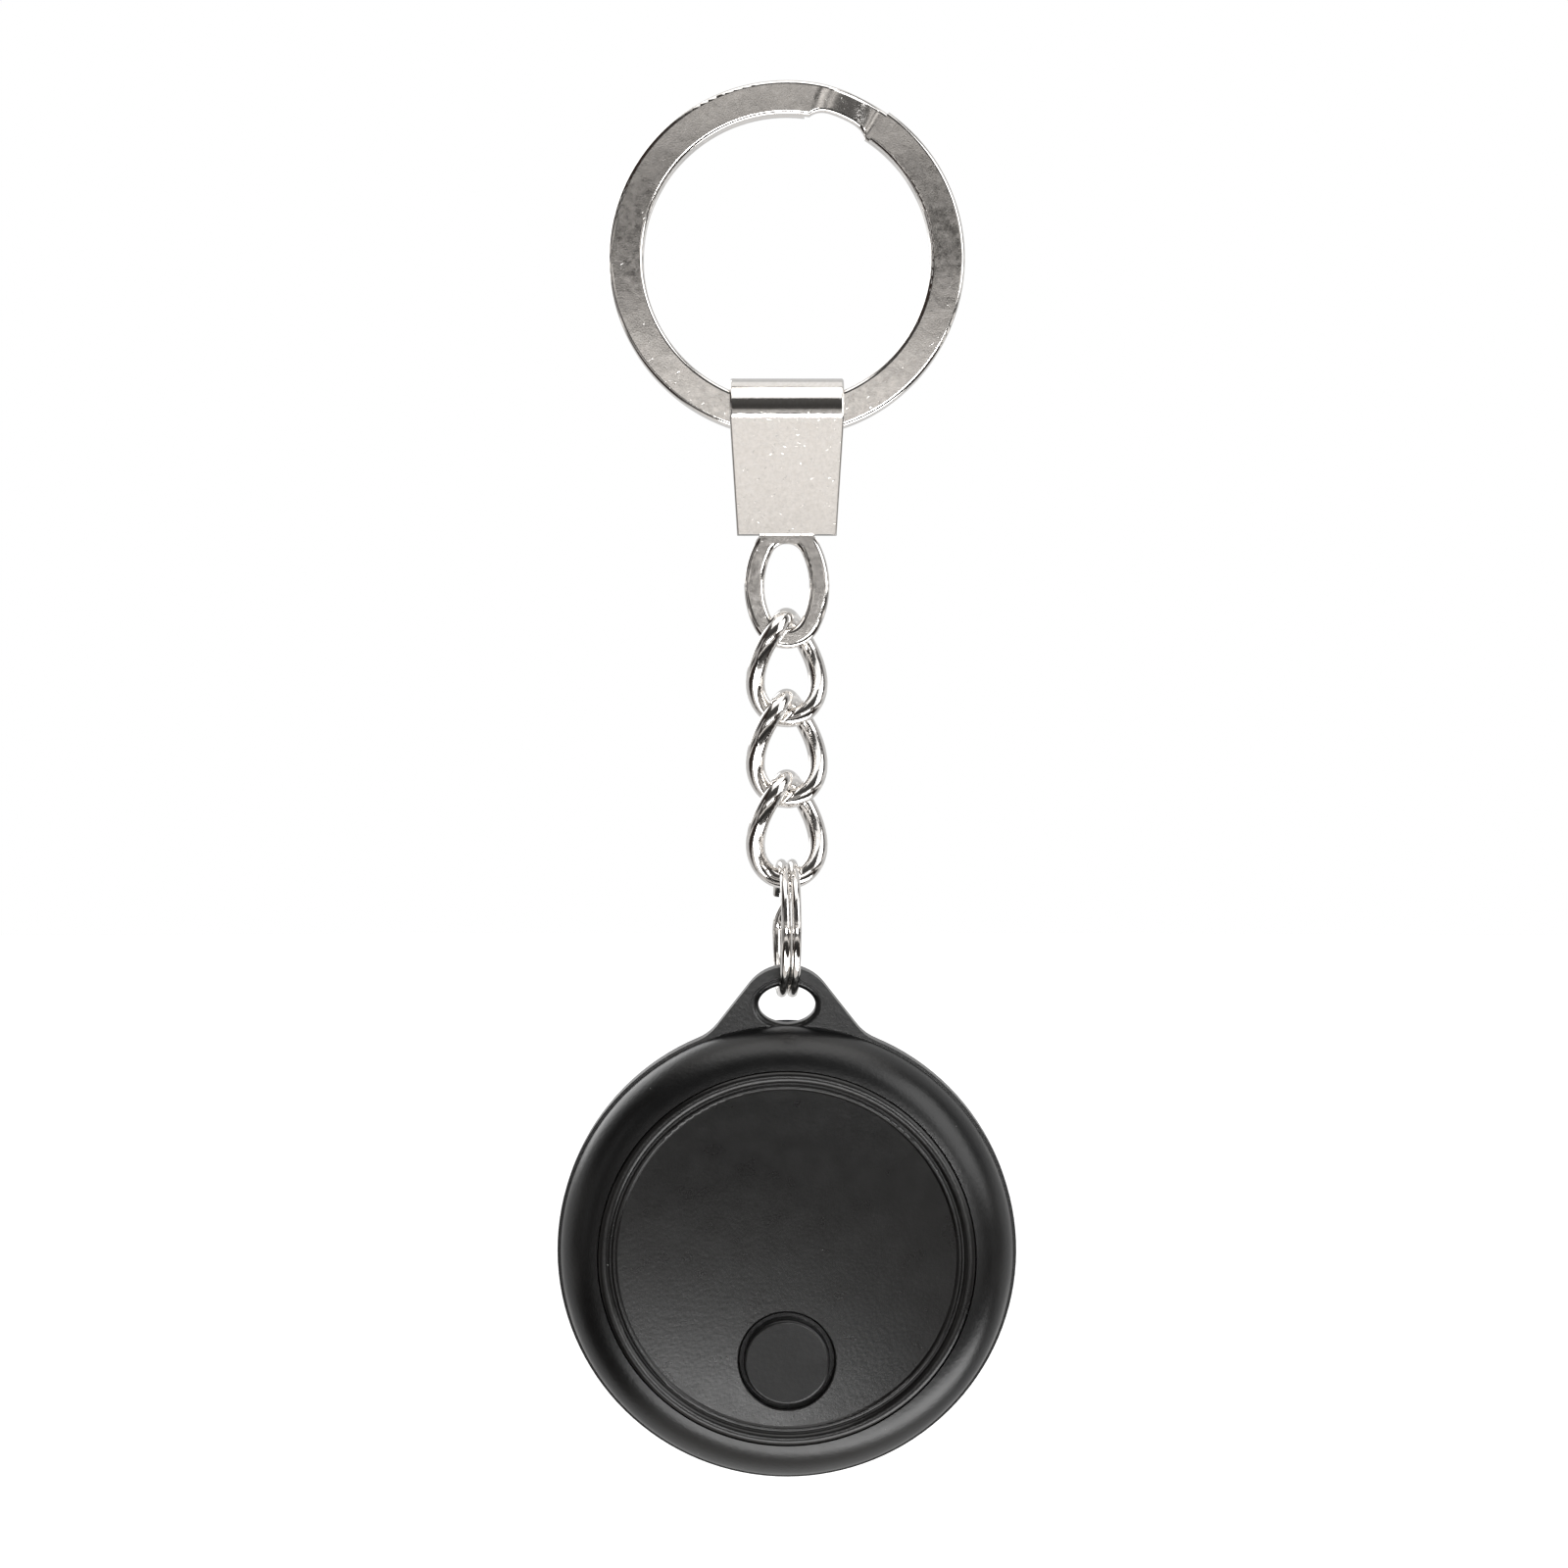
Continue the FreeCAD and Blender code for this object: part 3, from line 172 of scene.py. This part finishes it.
def nickel(name, grain_depth, rough, dent_depth):
    """Bright nickel plate: fine grain, shallow dents and short hairline scratches."""
    m = Finish(name, NICKEL, rough, metallic=1.0)
    m.color(m.tones(m.noise(0.0003, 4), [(0.3, WARM_NICKEL), (0.7, PALE_NICKEL)]))
    m.roughness(m.ramp(m.noise(0.0005, 5, 0.65), 0.3, 0.7, rough * 0.6, rough * 1.5))
    m.bump(m.noise(0.00014, 3, 0.7), grain_depth)
    m.bump(m.noise(0.0024, 2, 0.4), dent_depth)
    for turn in SCRATCH_TURNS:
        lines = m.noise(0.00012, 1, 0.4, m.stretched((7.0, 1.0, 1.0), turn))
        m.bump(m.ramp(lines, 0.76, 0.79, 0, 1), -grain_depth * 0.8)
    return m.material


def moulded(name, color, rough, grain, depth):
    """Matt moulded plastic: fine spark-eroded grain, slightly uneven shine and stray dust."""
    m = Finish(name, color, rough)
    base = m.tones(m.noise(0.004, 3), [(0.3, scaled(color, 0.82)), (0.7, scaled(color, 1.25))])
    m.color(m.mixed(m.ramp(m.cells(DUST_SPACING), 0.014, 0.026, 1, 0), base, DUST))
    m.roughness(m.ramp(m.noise(0.0018, 5), 0.3, 0.7, rough * 0.93, rough * 1.08))
    m.bump(m.noise(grain, 2, 0.7), depth)
    m.bump(m.cells(grain * 1.9), depth * 0.7)
    return m.material


def rolled(name, color, rough):
    """Sheet metal with its rolling lines along Z."""
    m = Finish(name, color, rough, metallic=1.0)
    lines = m.noise(0.00012, 3, 0.6, m.stretched((1.0, 1.0, 12.0)))
    m.color(m.tones(m.noise(0.002, 3), [(0.35, scaled(color, 0.86)), (0.65, color)]))
    m.roughness(m.ramp(lines, 0.3, 0.7, rough * 0.75, rough * 1.3))
    m.bump(lines, ROLLING_DEPTH)
    return m.material


def soldermask(name):
    """Green board lacquer over copper tracks."""
    m = Finish(name, (0.01, 0.12, 0.05), 0.32)
    tracks = m.cells(TRACK_SPACING, "DISTANCE_TO_EDGE")
    m.color(m.tones(tracks, [(0.0, TRACK_GREEN), (0.06, TRACK_GREEN), (0.09, BOARD_GREEN)]))
    m.roughness(m.ramp(m.noise(0.001), 0.3, 0.7, 0.25, 0.42))
    m.bump(m.ramp(tracks, 0.05, 0.09, 1, 0), 0.00002)
    return m.material


def mottled(name, color, rough):
    """Ceramic, rubber or epoxy with a slight mottle."""
    m = Finish(name, color, rough)
    m.color(m.tones(m.noise(MOTTLE, 4), [(0.3, scaled(color, 0.8)), (0.7, scaled(color, 1.15))]))
    m.roughness(m.ramp(m.noise(MOTTLE * 2), 0.3, 0.7, rough * 0.85, min(rough * 1.15, 1)))
    m.bump(m.noise(MOTTLE * 0.3), MOTTLE_DEPTH)
    return m.material


LOOKS = {
    nickel("nickel_wire", 0.0000018, 0.085, 0.000016):
        ["chain_link_1", "chain_link_2", "chain_link_3", "split_ring"],
    nickel("nickel_stamped", 0.0000016, 0.08, 0.000008):
        ["key_ring", "clasp_strap", "clasp_tongue"],
    moulded("black_shell", (0.0045, 0.0046, 0.0048), 0.31, 0.00022, 0.000008):
        ["front_shell", "rear_shell"],
    moulded("black_panel", (0.0044, 0.0041, 0.0040), 0.29, 0.00020, 0.000007): ["front_panel"],
    moulded("black_button", (0.0050, 0.0050, 0.0052), 0.36, 0.00024, 0.000010): ["button"],
    moulded("black_door", (0.0048, 0.0048, 0.0050), 0.38, 0.00026, 0.000016): ["battery_door"],
    mottled("seal_rubber", (0.03, 0.03, 0.03), 0.75): ["door_seal"],
    mottled("pad_rubber", (0.22, 0.22, 0.23), 0.7): ["button_pad"],
    mottled("switch_plastic", (0.6, 0.56, 0.46), 0.4): ["switch_plunger"],
    rolled("switch_cover", (0.62, 0.62, 0.6), 0.3): ["switch_body"],
    soldermask("board_lacquer"): ["circuit_board"],
    rolled("screw_steel", (0.35, 0.35, 0.36), 0.3): ["board_screws"],
    mottled("chip_epoxy", (0.018, 0.018, 0.02), 0.55): ["bluetooth_chip"],
    rolled("crystal_can", (0.72, 0.72, 0.7), 0.22): ["crystal"],
    mottled("antenna_ceramic", (0.72, 0.69, 0.6), 0.4): ["chip_antenna"],
    mottled("passive_ceramic", (0.36, 0.25, 0.16), 0.45): ["smd_passives"],
    rolled("brass_plate", (0.78, 0.57, 0.25), 0.28): ["buzzer_plate"],
    mottled("piezo_ceramic", (0.74, 0.72, 0.66), 0.5): ["buzzer_ceramic"],
    rolled("spring_steel", (0.68, 0.68, 0.67), 0.25):
        ["buzzer_contacts", "negative_contact", "positive_contact"],
    rolled("cell_can", (0.74, 0.74, 0.75), 0.24): ["coin_cell"],
}
for material, members in LOOKS.items():
    for member in members:
        mesh = nodes[member].data
        mesh.materials.clear()
        mesh.materials.append(material)


# ---------------------------------------------------------------------------
# Studio. The camera sees white. Only reflections see the bright and dark bands.
# ---------------------------------------------------------------------------
WHITE = (1.0, 1.0, 1.0)
GREY = (0.25, 0.25, 0.25)
SHADE = (0.035, 0.026, 0.022)
# (height, brightness): 0 is straight down, 0.5 is level and 1 is straight up
LEVELS = [
    (0.000, 0.80), (0.090, 0.70), (0.150, 0.10), (0.240, 0.02), (0.330, 0.06), (0.350, 0.50),
    (0.362, 0.95), (0.385, 1.00), (0.392, 0.18), (0.430, 0.10), (0.498, 0.12), (0.505, 0.80),
    (0.514, 0.80), (0.519, 0.05), (0.529, 0.05), (0.535, 1.00), (0.548, 1.00), (0.5535, 0.04),
    (0.568, 0.02), (0.576, 0.75), (0.586, 0.60), (0.600, 0.08), (0.690, 0.05), (0.900, 0.10),
    (0.930, 0.95), (1.000, 1.00),
]
# Dark flags at the sides, by the X of a direction: where one starts, is full, is last full and ends
FLAGS = [(-0.95, -0.88, -0.66, -0.58), (0.72, 0.76, 0.84, 0.88)]
FLOOR_DROP = 0.09

world = bpy.data.worlds.new("studio")
world.use_nodes = True
world.node_tree.nodes.clear()
bpy.context.scene.world = world
studio = Tree(world.node_tree, "Generated")
way = studio.add("ShaderNodeSeparateXYZ")
studio.link(studio.place, way.inputs[0])
height = studio.ramp(way.outputs["Z"], -1, 1, 0, 1)
bands = studio.tones(height, [(spot, (level, level * 0.965, level * 0.93)) for spot, level in LEVELS])
for start, full, last, end in FLAGS:
    flag = studio.math("MULTIPLY", studio.ramp(way.outputs["X"], start, full, 0, 1),
                       studio.ramp(way.outputs["X"], last, end, 1, 0))
    bands = studio.mixed(flag, bands, SHADE)
# The bands fade towards white behind the object
bands = studio.mixed(studio.ramp(way.outputs["Y"], 0.02, 0.30, 0, 0.6), bands, WHITE)
ray = studio.add("ShaderNodeLightPath")
lit = studio.mixed(ray.outputs["Is Glossy Ray"], GREY, bands)
seen = studio.math("MAXIMUM", ray.outputs["Is Camera Ray"], ray.outputs["Is Transmission Ray"])
sky = studio.add("ShaderNodeBackground")
studio.link(studio.mixed(seen, lit, WHITE), sky.inputs["Color"])
result = studio.add("ShaderNodeOutputWorld")
studio.link(sky.outputs[0], result.inputs["Surface"])

low, high = Vector(cad_bounds[0]), Vector(cad_bounds[1])
middle = (low + high) / 2
bpy.ops.mesh.primitive_circle_add(vertices=96, radius=4, fill_type="NGON",
                                  location=(0, 0, low.z - FLOOR_DROP))
floor = bpy.context.object
floor.name = "floor"
paper = Finish("floor_paper", (0.82, 0.82, 0.82), 0.9)
paper.shader.inputs["Emission Color"].default_value = (1, 1, 1, 1)
# The glow grows outwards to full white and shows only to the camera, so the shadow stays
distance = paper.add("ShaderNodeVectorMath", operation="LENGTH")
paper.link(paper.place, distance.inputs[0])
ray = paper.add("ShaderNodeLightPath")
glow = paper.math("MULTIPLY", paper.ramp(distance.outputs["Value"], 0.15, 0.55, 0.55, 1.0),
                  ray.outputs["Is Camera Ray"])
paper.link(glow, paper.shader.inputs["Emission Strength"])
paper.roughness(paper.ramp(paper.noise(0.01), 0.3, 0.7, 0.85, 0.95))
floor.data.materials.append(paper.material)
floor.visible_glossy = False


def softbox(name, location, target, width, height, radiance):
    """Rectangular lamp of one brightness, whatever its size."""
    light = bpy.data.lights.new(name, "AREA")
    light.shape = "RECTANGLE"
    light.size = width
    light.size_y = height
    light.energy = radiance * math.pi * width * height
    lamp = bpy.data.objects.new(name, light)
    bpy.context.scene.collection.objects.link(lamp)
    lamp.location = location
    lamp.rotation_euler = (Vector(target) - Vector(location)).to_track_quat("-Z", "Y").to_euler()


case_low, case_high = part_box("front_shell")
tag = (case_low + case_high) / 2
softbox("key_light", (0.38, -0.24, 0.14), tag, 0.32, 0.40, 2.6)
softbox("top_light", (0.02, -0.16, 0.42), middle, 0.55, 0.35, 1.1)
softbox("fill_light", (-0.42, -0.26, -0.02), tag, 0.12, 0.40, 0.4)
softbox("back_light", (-0.28, 0.36, 0.16), tag, 0.34, 0.34, 1.8)
softbox("front_light", (0.12, -0.60, -0.084), (0.0, 0.0, -0.084), 0.36, 0.055, 18.0)
softbox("low_light", (0.05, -0.10, low.z - 0.13), tag, 0.36, 0.08, 6.0)

# ---------------------------------------------------------------------------
# Camera, level with the middle of the picture
# ---------------------------------------------------------------------------
CAMERA_PLACE = (-0.00024, -0.3723, -0.04427)
SENSOR_WIDTH = 36.0  # millimetres, like the focal length
FOCAL_LENGTH = 101.25

optics = bpy.data.cameras.new("camera")
optics.sensor_width = SENSOR_WIDTH
optics.lens = FOCAL_LENGTH
optics.clip_start = 0.01
camera = bpy.data.objects.new("camera", optics)
bpy.context.scene.collection.objects.link(camera)
camera.location = CAMERA_PLACE
camera.rotation_euler = (math.radians(90), 0, 0)
bpy.context.scene.camera = camera
bpy.context.scene.view_settings.view_transform = "Standard"
